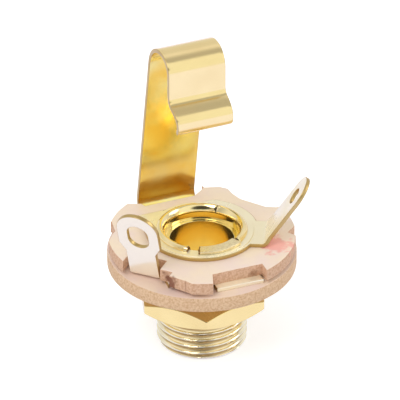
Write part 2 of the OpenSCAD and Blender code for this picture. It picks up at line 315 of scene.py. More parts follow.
def inside_loops(point, loops):
    """Whether a point is inside the first loop and outside the others, by crossings."""
    x, y = point
    crossings = 0
    for loop in loops:
        a = np.asarray(loop)
        b = np.roll(a, -1, 0)
        spans = (a[:, 1] > y) != (b[:, 1] > y)
        a, b = a[spans], b[spans]
        at = a[:, 0] + (y - a[:, 1]) * (b[:, 0] - a[:, 0]) / (b[:, 1] - a[:, 1])
        crossings += int((at > x).sum())
    return crossings % 2 == 1


def dense(loop, spacing):
    """A closed loop with extra points, so that no side is longer than spacing."""
    points = []
    for k, p in enumerate(loop):
        q = loop[(k + 1) % len(loop)]
        n = max(1, int(math.ceil(math.dist(p, q) / spacing)))
        points += [(p[0] + (q[0] - p[0]) * i / n, p[1] + (q[1] - p[1]) * i / n) for i in range(n)]
    return points


def follow(path, s, h):
    """Place of a sheet's point at distance s along a bent path, h off its middle.

    path is a list of (length, turn in degrees, radius of the middle). The result is (along, up)
    in the plane of the bends, counted from the start of the path and heading along +x there.
    """
    x, z, heading = 0.0, 0.0, 0.0
    for length, turn, radius in path:
        step = Vector((math.cos(heading), math.sin(heading)))
        if s <= length:
            return x + s * step.x - h * step.y, z + s * step.y + h * step.x
        x, z, s = x + length * step.x, z + length * step.y, s - length
        if turn:
            side = math.copysign(1, turn)
            span = abs(math.radians(turn)) * radius
            centre = (x - side * radius * step.y, z + side * radius * step.x)
            turned = heading + side * min(s, span) / radius
            at = radius - side * h
            if s <= span:
                return centre[0] + side * at * math.sin(turned), centre[1] - side * at * math.cos(turned)
            x = centre[0] + side * radius * math.sin(turned)
            z = centre[1] - side * radius * math.cos(turned)
            heading, s = turned, s - span
    step = Vector((math.cos(heading), math.sin(heading)))
    return x + s * step.x - h * step.y, z + s * step.y + h * step.x


def path_stations(path, fine, coarse):
    """Distances along a path that sample its bends finely and its straights coarsely."""
    stations, s = [0.0], 0.0
    for length, turn, radius in path:
        if length:
            stations += list(np.linspace(s, s + length, max(2, int(length / coarse) + 1))[1:])
        s += length
        if turn:
            span = abs(math.radians(turn)) * radius
            stations += list(np.linspace(s, s + span, max(3, int(span / fine) + 1))[1:])
            s += span
    return stations


# Materials

GOLD = (1.0, 0.8, 0.39)
TURNED_GOLD = (1.0, 0.83, 0.43)
NUT_GOLD = (0.98, 0.77, 0.32)
# Painted shade on the nut's chamfer cones.
NUT_CHAMFER_SHADE = (0.74, 0.52, 0.19)
# Deeper orange gold painted on one face of the leaf as a reflection tint.
LEAF_REFLECTION_GOLD = (1.0, 0.77, 0.2)
# Soft pale patches at random places on the leaf, a painted sheen.
LEAF_SHEEN_PALE = (1.0, 0.88, 0.38)
# A paler, less metallic finish on the tail's end, a painted highlight.
TAIL_HIGHLIGHT_GOLD = (1.0, 0.92, 0.7)
# Painted shade in the thread's grooves; also the colour of the dark spots of mottled gold.
GROOVE_SHADE_AND_SPOT_GOLD = (0.52, 0.37, 0.17)
PLATE_GOLD = (1.0, 0.92, 0.66)
EDGE_GOLD = (0.6, 0.43, 0.17)
# Dark brown on the rim's torn ends, and painted shade on the neck under the rim.
TORN_METAL_AND_SHADE = (0.3, 0.17, 0.06)
BORE_GOLD = (1.0, 0.85, 0.43)
# A painted highlight on the threaded barrel below the panel seat.
CREST_HIGHLIGHT_GOLD = (1.0, 0.9, 0.62)
PRESSED_GOLD = (1.0, 0.87, 0.52)
TIN = (0.99, 0.89, 0.66)
PINK_TIN = (0.97, 0.87, 0.71)


def new_material(name, base, metallic, roughness):
    """A material with its shader and an empty node tree round it to build on."""
    material = bpy.data.materials.new(name)
    material.use_nodes = True
    shader = material.node_tree.nodes["Principled BSDF"]
    shader.inputs["Base Color"].default_value = (*base, 1)
    shader.inputs["Metallic"].default_value = metallic
    shader.inputs["Roughness"].default_value = roughness
    return material, shader


def add_node(material, kind, inputs=None, **settings):
    """A new node with its settings and input values; an input that is a socket is linked."""
    node = material.node_tree.nodes.new(kind)
    for key, value in settings.items():
        setattr(node, key, value)
    for key, value in (inputs or {}).items():
        if isinstance(value, bpy.types.NodeSocket):
            material.node_tree.links.new(value, node.inputs[key])
        else:
            node.inputs[key].default_value = value
    return node


def place(material, stretch=(1, 1, 1)):
    """The place on the object in millimetres, stretched along its axes."""
    at = add_node(material, "ShaderNodeTexCoord")
    scale = tuple(s / MM for s in stretch)
    mapping = add_node(material, "ShaderNodeMapping", {"Vector": at.outputs["Object"], "Scale": scale})
    return mapping.outputs["Vector"]


def ramp(material, factor, stops):
    """A colour ramp through (position, colour or grey) stops."""
    node = add_node(material, "ShaderNodeValToRGB", {"Fac": factor})
    elements = node.color_ramp.elements
    while len(elements) < len(stops):
        elements.new(0.5)
    for element, (position, colour) in zip(elements, stops):
        element.position = position
        element.color = (*colour, 1) if hasattr(colour, "__len__") else (colour, colour, colour, 1)
    return node.outputs["Color"]


def mix_colour(material, factor, a, b, blend="MIX"):
    """Two colours, or colour sockets, mixed by factor."""
    node = add_node(material, "ShaderNodeMix", data_type="RGBA", blend_type=blend)
    links = material.node_tree.links
    for key, value in (("Factor", factor), ("A", a), ("B", b)):
        socket = next(i for i in node.inputs if i.name == key and i.enabled)
        if isinstance(value, bpy.types.NodeSocket):
            links.new(value, socket)
        elif key == "Factor":
            socket.default_value = value
        else:
            socket.default_value = (*value, 1)
    return next(o for o in node.outputs if o.enabled)


def link(material, output, shader, name):
    material.node_tree.links.new(output, shader.inputs[name])


def add_bump(material, shader, height, strength, distance_mm):
    bump = add_node(
        material,
        "ShaderNodeBump",
        {"Height": height, "Strength": strength, "Distance": distance_mm * MM},
    )
    link(material, bump.outputs["Normal"], shader, "Normal")


def gold(name, base=GOLD, roughness=0.16, grain=0.35, stretch=(1, 1, 1), metallic=1.0,
         ends=(), thread=False, mottle=0.0, patches=None):
    """Gold plate: slightly cloudy, with fine tool or roll marks along the stretched axes.

    Each end is (direction, distance, colour, metallic): the sheet further out than that has a
    finish of its own. thread paints a paler highlight on the barrel below the panel seat and
    painted shade into the thread's grooves. mottle is the share of dark spots, and patches is the
    colour of soft pale patches at random places, a painted sheen.
    """
    material, shader = new_material(name, base, metallic, roughness)
    where = place(material, stretch)
    cloud = add_node(
        material, "ShaderNodeTexNoise", {"Vector": place(material), "Scale": 0.35, "Detail": 3.0}
    )
    marks = add_node(
        material, "ShaderNodeTexNoise", {"Vector": where, "Scale": 6.0, "Detail": 4.0}
    )
    rough = add_node(
        material,
        "ShaderNodeMapRange",
        {"Value": cloud.outputs["Fac"], "From Min": 0.3, "From Max": 0.7,
         "To Min": roughness * 0.8, "To Max": roughness * 1.35},
    )
    rough = rough.outputs["Result"]
    link(material, rough, shader, "Roughness")
    darker = tuple(c * k for c, k in zip(base, (0.94, 0.9, 0.84)))
    colour = mix_colour(material, cloud.outputs["Fac"], base, darker)
    # Soft pale patches at random places, a painted sheen.
    if patches:
        pale = ramp(material, cloud.outputs["Fac"], [(0.38, 0.0), (0.7, 1.0)])
        colour = mix_colour(material, pale, base, patches)
    # Below the panel seat the barrel is painted paler as a highlight, and its grooves darker as shade.
    if thread:
        below, grooves = thread_masks(material)
        colour = mix_colour(material, below, colour, CREST_HIGHLIGHT_GOLD)
        colour = mix_colour(material, grooves, colour, GROOVE_SHADE_AND_SPOT_GOLD)
    if mottle:
        spots = ramp(material, marks.outputs["Fac"], [(0.35, mottle), (0.6, 0.0)])
        colour = mix_colour(material, spots, colour, GROOVE_SHADE_AND_SPOT_GOLD)
    sheen = None
    for direction, distance, end_colour, end_metallic in ends:
        out = add_node(
            material, "ShaderNodeVectorMath", {0: place(material), 1: (*to_xy(direction, 1.0), 0.0)},
            operation="DOT_PRODUCT",
        )
        beyond = add_node(
            material, "ShaderNodeMapRange",
            {"Value": out.outputs["Value"], "From Min": distance - 0.2, "From Max": distance + 0.2},
        ).outputs["Result"]
        colour = mix_colour(material, beyond, colour, end_colour)
        before = sheen if sheen else (metallic,) * 3
        sheen = mix_colour(material, beyond, before, (end_metallic,) * 3)
    if sheen:
        link(material, sheen, shader, "Metallic")
    link(material, colour, shader, "Base Color")
    add_bump(material, shader, marks.outputs["Fac"], grain, 0.04 if mottle else 0.01)
    return material


def thread_masks(material):
    """A mask of all that is below the panel seat, which gets a painted highlight, and one of the thread's grooves,
    which gets painted shade.
    """
    split = add_node(material, "ShaderNodeSeparateXYZ", {"Vector": place(material)})
    flat = add_node(
        material, "ShaderNodeCombineXYZ", {"X": split.outputs["X"], "Y": split.outputs["Y"]}
    )
    r = add_node(material, "ShaderNodeVectorMath", {0: flat.outputs["Vector"]}, operation="LENGTH")
    deep = add_node(
        material, "ShaderNodeMapRange",
        {"Value": r.outputs["Value"], "From Min": THREAD_R - 0.2, "From Max": THREAD_R - 0.38},
    )
    below = add_node(material, "ShaderNodeMath", {0: split.outputs["Z"], 1: 0.0}, operation="LESS_THAN")
    mask = add_node(
        material, "ShaderNodeMath", {0: deep.outputs["Result"], 1: below.outputs["Value"]},
        operation="MULTIPLY",
    )
    return below.outputs["Value"], mask.outputs["Value"]


def near(material, where, centre, reach, noise_out, cut):
    """A ragged patch round a place: 1 inside and 0 beyond reach, broken up by noise."""
    gap = add_node(material, "ShaderNodeVectorMath", {0: where, 1: centre}, operation="DISTANCE")
    fade = add_node(
        material, "ShaderNodeMapRange",
        {"Value": gap.outputs["Value"], "From Min": 0.0, "From Max": reach, "To Min": 0.5, "To Max": -0.5},
    )
    total = add_node(
        material, "ShaderNodeMath", {0: fade.outputs["Result"], 1: noise_out}, operation="ADD"
    )
    return ramp(material, total.outputs["Value"], [(cut, 0.0), (cut + 0.2, 1.0)])


def fibre(name, face, edge, speck, stains_and_shade=()):
    """Pressed fibre board: pale smooth faces and rough, darker cut edges full of specks.

    Each patch, a smear on the board or painted shade, is (centre, reach, noise cut, strength, colour).
    """
    material, shader = new_material(name, face, 0.0, 0.42)
    shader.inputs["Specular IOR Level"].default_value = 0.4
    where = place(material)
    cloud = add_node(material, "ShaderNodeTexNoise", {"Vector": where, "Scale": 0.3, "Detail": 5.0})
    fine = add_node(material, "ShaderNodeTexNoise", {"Vector": where, "Scale": 4.5, "Detail": 6.0})
    grit = add_node(material, "ShaderNodeTexNoise", {"Vector": where, "Scale": 6.0, "Detail": 4.0})
    faces = mix_colour(
        material, ramp(material, cloud.outputs["Fac"], [(0.35, 0.0), (0.65, 1.0)]),
        face, tuple(c * k for c, k in zip(face, (0.95, 0.93, 1.08))),
    )
    edges = mix_colour(
        material, ramp(material, fine.outputs["Fac"], [(0.38, 0.0), (0.68, 1.0)]), edge, speck
    )
    normal = add_node(material, "ShaderNodeNewGeometry")
    split = add_node(material, "ShaderNodeSeparateXYZ", {"Vector": normal.outputs["True Normal"]})
    upright = add_node(
        material, "ShaderNodeMath", {0: split.outputs["Z"]}, operation="ABSOLUTE"
    )
    flat = ramp(material, upright.outputs["Value"], [(0.55, 0.0), (0.9, 1.0)])
    colour = mix_colour(material, flat, edges, faces)
    broad = add_node(material, "ShaderNodeTexNoise", {"Vector": where, "Scale": 1.3, "Detail": 6.0})
    for centre, reach, cut, strength, patch_colour in stains_and_shade:
        patch = near(material, where, centre, reach, broad.outputs["Fac"], cut)
        colour = mix_colour(material, ramp(material, patch, [(0, 0), (1, strength)]), colour, patch_colour)
    link(material, colour, shader, "Base Color")
    rough = ramp(material, flat, [(0.0, 0.75), (1.0, 0.4)])
    link(material, rough, shader, "Roughness")
    height = mix_colour(material, flat, fine.outputs["Color"], grit.outputs["Color"])
    add_bump(material, shader, height, 0.35, 0.05)
    return material


# Pieces


def thread_radius(z, angle):
    """Radius of the worn thread at height z, a right-hand helix that fades at the flange."""
    turn = (z / THREAD_PITCH - angle / (2 * math.pi)) % 1.0
    fall = min(1.0, max(0.0, (abs(2 * turn - 1) - 0.1) / 0.78))
    soft = fall * fall * (3 - 2 * fall)
    fade = min(1.0, max(0.0, -z / 0.7))
    depth = THREAD_DEPTH * (0.45 * fall + 0.55 * soft) * fade
    chamfer_r = THREAD_R - THREAD_CHAMFER + (z + THREAD_LEN) + 0.02
    return min(THREAD_R - depth, chamfer_r)


def bushing_body():
    """Barrel, flange, neck and bore as one turned body with its helical thread."""
    rows = 170
    barrel = [(None, -THREAD_LEN + THREAD_LEN * k / rows) for k in range(rows)]
    flange = rounded_profile([
        (THREAD_R, 0, 0),
        (FLANGE_R, 0, FLANGE_CHAMFER),
        (FLANGE_R, FLANGE_T, FLANGE_CHAMFER),
        (NECK_R, FLANGE_T, 0),
        (NECK_R, RIM_Z - 0.3, 0),
        (THROAT_R, RIM_Z - 0.3, 0),
        (THROAT_R, THROAT_Z - 0.2, 0.06),
        (BORE_R, THROAT_Z - THROAT_CONE, 0.06),
        (BORE_R, MOUTH_CHAMFER - THREAD_LEN, 0.05),
        (BORE_R + MOUTH_CHAMFER, -THREAD_LEN, 0.03),
    ])

    def shape(r, z, angle):
        if r is None:
            return thread_radius(z, angle), z
        return r, z

    profile = barrel + flange
    verts, faces = revolve(profile, BUSHING_SEGMENTS, shape)
    finish = []
    for r, z in profile:
        inside = r is not None and r < NECK_R
        # The neck under the rim gets the torn metal's dark brown as painted shade.
        shade_under_rim = r == NECK_R and z > GROUND_Z
        finish.append(BORE_MARK if inside else TORN_AND_SHADE_MARK if shade_under_rim else 0)
    marks = [finish[k // BUSHING_SEGMENTS] for k in range(len(faces))]
    return verts, faces, marks


def rim_section(flat):
    """Section of the rolled rim: a half round, or a low pressed strip where flat is 1."""
    steps = 16
    low = RIM_Z - 0.31
    roll = []
    for k in range(steps + 1):
        a = math.pi * k / steps
        outside = k <= steps // 2
        drop, bulge = (RIM_ROLL, 1.0) if outside else (RIM_INNER_DROP, RIM_INNER_BULGE)
        across = math.copysign(abs(math.cos(a)) ** bulge, math.cos(a))
        roll.append((THROAT_R + RIM_ROLL + RIM_ROLL * across,
                     RIM_Z + RIM_ROLL - drop * (1 - max(0.0, math.sin(a)) ** bulge)))
    inner, outer, top = THROAT_R, THROAT_R + 2 * RIM_ROLL + RIM_FLAT_SPREAD, RIM_Z + RIM_FLAT_H
    corner = 0.1
    pressed = [(outer, RIM_Z + 0.02)] + arc((outer - corner, top - corner), corner, 0, 90, 18)
    across = steps - 2 * len(pressed) + 3
    pressed += [(outer - corner + (inner + corner - outer + corner) * k / across, top)
                for k in range(1, across)]
    pressed += arc((inner + corner, top - corner), corner, 90, 180, 18)
    pressed = pressed[: steps] + [(inner, roll[-1][1])]
    ring = [
        ((1 - flat) * p[0] + flat * q[0], (1 - flat) * p[1] + flat * q[1])
        for p, q in zip(roll, pressed)
    ]
    return ring + [(THROAT_R, low), (NECK_R, low), (NECK_R, RIM_Z - 0.01)]


def rim_piece(a0, a1, flat, torn=()):
    """A stretch of the rim from a0 to a1 degrees, with softened ends.

    torn names the ends, 0 or 1, that are ragged.
    """
    steps = max(24, int((a1 - a0) / 1.5))
    section = rim_section(flat)
    centre = Vector((THROAT_R + RIM_ROLL, RIM_Z))
    verts = []
    for k in range(steps + 1):
        angle = a0 + (a1 - a0) * k / steps
        from_end = min(k, steps - k) * (a1 - a0) / steps * math.pi / 180 * centre.x
        shrink = 1 - 0.16 * max(0.0, 1 - from_end / 0.12) ** 2
        ragged = (1 if k > steps // 2 else 0) in torn and min(k, steps - k) < 2
        for r, z in section:
            p = centre + (Vector((r, z)) - centre) * (shrink if z > RIM_Z - 0.02 else 1)
            tear = RIM_TEAR * wobble(r, z, angle, 0.3) if ragged else 0.0
            x, y = to_xy(angle + tear, p.x)
            lift = 0.025 * wobble(x, y, p.y, 1.6) + 0.012 * flat * wobble(x, y, p.y, 0.35, 3.0)
            verts.append((x, y, p.y + (lift if z > RIM_Z else 0)))
    cols = len(section)
    faces = grid_faces(steps + 1, cols, closed_cols=True)
    marks = [PRESSED_MARK if flat else 0] * len(faces) + [TORN_AND_SHADE_MARK, TORN_AND_SHADE_MARK]
    if 0 in torn:
        marks[:cols] = [TORN_AND_SHADE_MARK] * cols
    if 1 in torn:
        marks[(steps - 1) * cols:steps * cols] = [TORN_AND_SHADE_MARK] * cols
    faces += [tuple(range(cols)), tuple(reversed(range(steps * cols, (steps + 1) * cols)))]
    return verts, faces, marks


def join(parts):
    """Several lists of points, faces and marks as one; a part without marks has only 0s."""
    verts, faces, marks = [], [], []
    for more, cells, *given in parts:
        faces += [tuple(k + len(verts) for k in cell) for cell in cells]
        marks += given[0] if given else [0] * len(cells)
        verts += more
    return verts, faces, marks


def make_bushing(*metals):
    half = RIM_CRACK_HALF
    verts, faces, marks = join([
        bushing_body(),
        rim_piece(RIM_CRACK + half - 360, RIM_BACK_CRACK - half, 0),
        rim_piece(RIM_BACK_CRACK + half, RIM_NOTCH[0] + RIM_TEAR, 0, torn=(1,)),
        rim_piece(RIM_NOTCH[1], RIM_CRACK - half, 1, torn=(0,)),
    ])
    piece = new_piece("turned_bushing", verts, faces, marks, sharp=30)
    for material in metals:
        piece.data.materials.append(material)
    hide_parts("bushing")
    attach(piece, "socket")


def nut_radius(angle):
    """Distance from the axis to the nut's side, with slightly rounded corners."""
    a = (angle - math.radians(NUT_TURN) + math.pi / 6) % (math.pi / 3) - math.pi / 6
    corner = NUT_AF / 2 / math.cos(math.pi / 6)
    flat = NUT_AF / 2 / math.cos(math.pi / 6 - abs(a))
    return -0.05 * math.log(math.exp(-flat / 0.05) + math.exp(-(corner - 0.03) / 0.05))


def make_nut(metal, chamfer_shade):
    """A hexagon under two cones, with its hole countersunk at both ends."""
    segments = 720
    edge = 0.05
    rows = ["hole_top", "sink_top", "ring_top", "face_top", "cone_top", "side_top",
            "side_low", "cone_low", "face_low", "ring_low", "sink_low", "hole_low"]
    verts = []
    for row in rows:
        for j in range(segments):
            angle = 2 * math.pi * j / segments
            side = nut_radius(angle)
            face_r = min(NUT_FACE_R, side - edge)
            drop = max(0.0, side - NUT_FACE_R) * NUT_SLOPE + 0.02
            r, depth = {
                "hole": (NUT_HOLE_R, NUT_COUNTERSINK),
                "sink": (NUT_HOLE_R + NUT_COUNTERSINK, 0),
                "ring": (NUT_HOLE_R + NUT_COUNTERSINK + 0.1, 0),
                "face": (face_r - 0.05, 0),
                "cone": (side - edge * 0.6, drop),
                "side": (side, drop + edge),
            }[row.split("_")[0]]
            z = -depth if row.endswith("top") else depth - NUT_T
            verts.append((r * math.cos(angle), r * math.sin(angle), z))
    faces = grid_faces(len(rows), segments, closed_rows=True, closed_cols=True)
    # The chamfer cones take a darker gold, a painted shade.
    cones = (rows.index("face_top"), rows.index("side_low"), rows.index("cone_low"))
    marks = [int(k // segments in cones) for k in range(len(faces))]
    piece = new_piece("panel_nut", verts, [tuple(reversed(f)) for f in faces], marks, sharp=24)
    piece.data.materials.append(metal)
    piece.data.materials.append(chamfer_shade)
    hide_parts("hex_nut")
    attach(piece, "nut")


def leaf_path():
    """The leaf from the start of its root bend, as (length, turn, radius of the middle)."""
    half = CONTACT_T / 2
    return [
        (0.0, 90 + LEAF_LEAN, LEAF_BEND_R + half),
        (LEAF_LEN, 90 - LEAF_LEAN, HAIRPIN_BACK_R + half),
        (HAIRPIN_TOP, 90, HAIRPIN_FRONT_R + half),
        (HOOK_FRONT, -HOOK_KICK - HOOK_CROWN / 2, HOOK_KICK_R + half),
        (0.0, HOOK_CROWN, HOOK_SLOPE / math.radians(HOOK_CROWN)),
        (0.0, NOSE_TURN - HOOK_CROWN / 2, NOSE_R + half),
        (LIP_LEN, 0, 0),
    ]


def path_length(path):
    return sum(length + abs(math.radians(turn)) * radius for length, turn, radius in path)


def lug_path(radius, rise, length):
    return [(0.0, rise, radius), (length, 0, 0)]


def bend_sheet(verts, thickness, x0, path):
    """Bends the part of a sheet beyond x = x0 along a path."""
    half = thickness / 2
    bent = []
    for x, y, z in verts:
        if x > x0:
            along, up = follow(path, x - x0, z - half)
            x, z = x0 + along, half + up
        bent.append((x, y, z))
    return bent


def turn_about_axis(verts, angle, offset=0.0):
    """Points of a strip along +x, shifted sideways by offset and turned about the axis."""
    c, s = math.cos(math.radians(angle)), math.sin(math.radians(angle))
    return [(c * x - s * (y + offset), s * x + c * (y + offset), z) for x, y, z in verts]


def lift(verts, z0):
    return [(x, y, z + z0) for x, y, z in verts]


def strip_points(stations, low, high, x0, step=0.8):
    """Inner points of a strip along +x at the given distances from x0."""
    across = np.arange(low + step / 2, high, step)
    return [(x0 + s, y) for s in stations[1:-1] for y in across]


def contact_plate():
    """The contact's flat ring and tail, between the wafers."""
    ring = CONTACT_RING_R
    shoulder = TIP_LUG_OFFSET + TIP_LUG_NECK_W / 2
    turn = TIP_LUG_ANGLE
    shoulder_points = [(TIP_LUG_BEND - 0.6, shoulder), (TIP_LUG_BEND, shoulder),
                       (SHOULDER_REACH, shoulder + SHOULDER_W), (CONTACT_RING_R - 1, shoulder + SHOULDER_W)]
    shoulder_points = [p[:2] for p in turn_about_axis([(x, y, 0) for x, y in shoulder_points], turn)]
    tail_left = 270 - math.degrees(math.asin(-TAIL_LEFT / ring))
    tail_right = 270 + math.degrees(math.asin(TAIL_RIGHT / ring))
    outline = (
        arc((0, 0), ring, tail_right - 360, 215)
        + shoulder_points
        + arc((0, 0), ring, 226, tail_left)
        + [(TAIL_LEFT, -TAIL_REACH), (TAIL_RIGHT, -TAIL_REACH)]
    )
    hole = arc((0, 0), SLEEVE_R + 0.05, 360, 6)
    verts, faces, marks = sheet([dense(outline, 0.6), hole], CONTACT_T, 0.05, [])
    for k, face in enumerate(faces):
        if all(verts[corner][1] < 0.1 - TAIL_REACH for corner in face):
            marks[k] = 0
    return lift(verts, CONTACT_Z), faces, marks


def tip_lug():
    """The tip lug on its neck, bent up from the contact's plate."""
    start = 4.0
    neck, head = TIP_LUG_NECK_W / 2, TIP_LUG_HEAD_W / 2
    radius = 1.5 * CONTACT_T
    path = lug_path(radius, TIP_LUG_RISE, TIP_LUG_LEN)
    tip = TIP_LUG_BEND + path_length(path)
    head_x = tip - head
    neck_end = tip - TIP_LUG_LEN + TIP_LUG_NECK_LEN
    flare_end = neck_end + TIP_LUG_FLARE
    outline = (
        [(start, -neck), (TIP_LUG_BEND, -neck), (neck_end, -neck), (flare_end, -head)]
        + arc((head_x, 0), head, -90, 90)
        + [(flare_end, head), (neck_end, neck), (TIP_LUG_BEND, neck), (start, neck)]
    )
    reach = (TIP_SLOT_LEN - TIP_SLOT_W) / 2
    slot_r = TIP_SLOT_W / 2
    centre = head_x - TIP_SLOT_INSET
    slot = arc((centre + reach, 0), slot_r, 90, -90, 10) + arc((centre - reach, 0), slot_r, 270, 90, 10)
    bend_end = math.radians(TIP_LUG_RISE) * radius
    inner = [(TIP_LUG_BEND + s, y) for s in np.linspace(0, bend_end, 14)
             for y in np.linspace(-neck + 0.3, neck - 0.3, 5)]
    verts, faces, marks = sheet([dense(outline, 0.35), slot], CONTACT_T, 0.06, inner)
    verts = bend_sheet(verts, CONTACT_T, TIP_LUG_BEND, path)
    return lift(turn_about_axis(verts, TIP_LUG_ANGLE, TIP_LUG_OFFSET), CONTACT_Z), faces, marks


def spring_leaf():
    """The leaf from inside the stack through its root bend to the lip of the hook."""
    start = 5.4
    path = leaf_path()
    tip = LEAF_BEND_Y + path_length(path)
    stations = path_stations(path, 0.09, 0.7)
    low, high = -LEAF_RIGHT, -LEAF_LEFT
    taper_start = tip - path_length(path[-2:]) - 1.0
    corner = LIP_CORNER_R
    side = [start] + [LEAF_BEND_Y + s for s in stations if LEAF_BEND_Y + s < tip - corner]

    def left_side(x):
        return high - HOOK_TAPER * max(0.0, x - taper_start) / (tip - taper_start)

    end = left_side(tip)
    outline = (
        [(x, low) for x in side]
        + arc((tip - corner, low + corner), corner, -90, 0, 12)
        + dense_line((tip, low + corner), (tip, end - corner))
        + arc((tip - corner, end - corner), corner, 0, 90, 12)
        + [(x, left_side(x)) for x in reversed(side)]
    )
    inner = [p for p in strip_points(stations, low, high - HOOK_TAPER, LEAF_BEND_Y)
             if p[0] < tip - corner]
    verts, faces, marks = sheet([outline], CONTACT_T, 0.05, inner)
    # One face of the leaf takes the deeper orange gold, a painted reflection tint; the other keeps the strip's
    # gold.
    reflection_tinted_count = marks.count(0) // 2
    marks[:reflection_tinted_count] = [2] * reflection_tinted_count
    verts = bend_sheet(verts, CONTACT_T, LEAF_BEND_Y, path)
    return lift(turn_about_axis(verts, 90), CONTACT_Z), faces, marks


def dense_line(a, b, spacing=0.6):
    """Points between a and b, without either end."""
    n = max(2, int(math.dist(a, b) / spacing))
    return [(a[0] + (b[0] - a[0]) * k / n, a[1] + (b[1] - a[1]) * k / n) for k in range(1, n)]


def make_tip_contact(*metals):
    piece = new_piece("tip_contact_stamping", *join([contact_plate(), tip_lug(), spring_leaf()]), sharp=50)
    for material in metals:
        piece.data.materials.append(material)
    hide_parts("tip_contact", "tip_spring")
    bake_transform(piece)


def ground_plate():
    """The ground plate with its straight side, strap and bent-up lug."""
    half = GROUND_STRAP_W / 2
    path = lug_path(1.5 * GROUND_T, GROUND_LUG_RISE, GROUND_LUG_LEN)
    tip = GROUND_LUG_BEND + path_length(path)
    turn = GROUND_LUG_ANGLE
    lug_r = GROUND_LUG_W / 2
    step = GROUND_STRAP_W - GROUND_LUG_W
    bend_end = GROUND_LUG_BEND + math.radians(GROUND_LUG_RISE) * path[0][2]
    head_x = tip - lug_r
    centre = to_xy(GROUND_SHIFT_ANGLE - turn, GROUND_SHIFT)
    strap_top = math.degrees(math.asin((half - centre[1]) / GROUND_R))
    strap_low = math.degrees(math.asin((-half - centre[1]) / GROUND_R))
    flat_rise = GROUND_FLAT - to_xy(GROUND_SHIFT_ANGLE, GROUND_SHIFT)[1]
    flat_angle = math.degrees(math.asin(flat_rise / GROUND_R))
    outline = (
        [(GROUND_LUG_BEND, -half), (bend_end, -half), (bend_end + step, -lug_r)]
        + arc((head_x, 0), lug_r, -90, 90)
        + [(bend_end + step, lug_r), (bend_end, half), (GROUND_LUG_BEND, half)]
        + arc(centre, GROUND_R, strap_top, flat_angle - turn)
        + [turned(-GROUND_FLAT_REACH, GROUND_FLAT, -turn)]
        + arc(centre, GROUND_R, GROUND_ROUND_ANGLE - turn, 360 + strap_low)
    )
    neck_hole = arc((0, 0), NECK_R + 0.02, 360, 5)
    wire_hole = arc((head_x - GROUND_HOLE_INSET, 0), GROUND_HOLE_R, 360, 12, 12)
    inner = [(GROUND_LUG_BEND + s, y) for s in np.linspace(0, bend_end - GROUND_LUG_BEND, 14)
             for y in np.linspace(-half + 0.3, half - 0.3, 6)]
    verts, faces, marks = sheet([dense(outline, 0.35), neck_hole, wire_hole], GROUND_T, 0.08, inner)
    verts = bend_sheet(verts, GROUND_T, GROUND_LUG_BEND, path)
    return lift(turn_about_axis(verts, turn), GROUND_Z), faces, marks


def turned(x, y, angle):
    c, s = math.cos(math.radians(angle)), math.sin(math.radians(angle))
    return (c * x - s * y, s * x + c * y)


def coined_ring():
    """The low ring that is coined on the ground plate round the rim."""
    top = GROUND_Z + GROUND_T
    return revolve(rounded_profile([
        (COIN_R, top - 0.05, 0),
        (COIN_R, top + COIN_H * 0.9, 0.06),
        (NECK_R + 0.03, top + COIN_H * 0.9, 0),
        (NECK_R + 0.03, top - 0.05, 0),
    ]), 180)


def make_ground_lug(metal, edge):
    piece = new_piece("ground_lug_stamping", *join([ground_plate(), coined_ring()]), sharp=50)
    piece.data.materials.append(metal)
    piece.data.materials.append(edge)
    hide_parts("ground_lug")
    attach(piece, "socket")


def wafer_outline(node, height):
    """The outline of a CAD wafer, read from its top face as ordered loops in millimetres."""
    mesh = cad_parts[node].data
    top = {}
    for v in mesh.vertices:
        if abs(v.co.z / MM - height) < 0.01:
            top[v.index] = (round(v.co.x / MM, 3), round(v.co.y / MM, 3))
    count = {}
    for face in mesh.polygons:
        if all(k in top for k in face.vertices):
            corners = [top[k] for k in face.vertices]
            for p, q in zip(corners, corners[1:] + corners[:1]):
                if p != q:
                    count[(p, q)] = count.get((p, q), 0) + 1
    ahead = {p: q for p, q in count if (q, p) not in count}
    loops = []
    while ahead:
        start, point = next(iter(ahead.items()))
        loop = [start]
        del ahead[start]
        while point != start:
            loop.append(point)
            point = ahead.pop(point)
        loops.append(loop)
    loops.sort(key=lambda ring: -max(math.hypot(*p) for p in ring))
    return loops


def closed_recess(loop):
    """The top wafer's outline with its recesses closer to the lug and further behind the tail."""
    floor_y = TAIL_SHOW - TAIL_REACH
    points = []
    for x, y in loop:
        along, across = turned(x, y, -TIP_LUG_ANGLE)
        if abs(y - floor_y) < 0.02:
            y += TAIL_BREAK
        if abs(along - LUG_RECESS_X) < 0.02 and across > LUG_RECESS_SIDE:
            step = [(LUG_RECESS_X, LUG_RECESS_SIDE), (SHOULDER_EDGE, LUG_RECESS_SIDE), (SHOULDER_EDGE, across)]
            points += [turned(*p, TIP_LUG_ANGLE) for p in step]
        else:
            points.append((x, y))
    return points


def rough_wafer(node, low, high, chip, spacing, edge):
    """A wafer from its CAD outline, with its cut edge worn and chipped."""
    loops = wafer_outline(node, high)
    if node == "top_wafer":
        loops[0] = closed_recess(loops[0])
    outer = dense(loops[0], spacing)
    worn = []
    for x, y in outer:
        r = math.hypot(x, y)
        bite = chip * (0.5 + 0.5 * wobble(x, y, 0, 0.5)) * (0.6 + 0.4 * wobble(x, y, 0, 2.5, 5.0))
        k = (r - max(0.0, bite)) / r
        worn.append((x * k, y * k))
    verts, faces, _ = sheet([worn] + loops[1:], high - low, edge, [])
    moved = []
    for x, y, z in verts:
        r = math.hypot(x, y)
        side = 0.0
        if 0.02 < z < high - low - 0.02 and r > SLEEVE_R + 1:
            side = chip * 0.6 * wobble(x, y, 2 * z, 0.25, 9.0)
        k = (r - abs(side)) / r
        moved.append((x * k, y * k, z))
    return lift(moved, low), faces


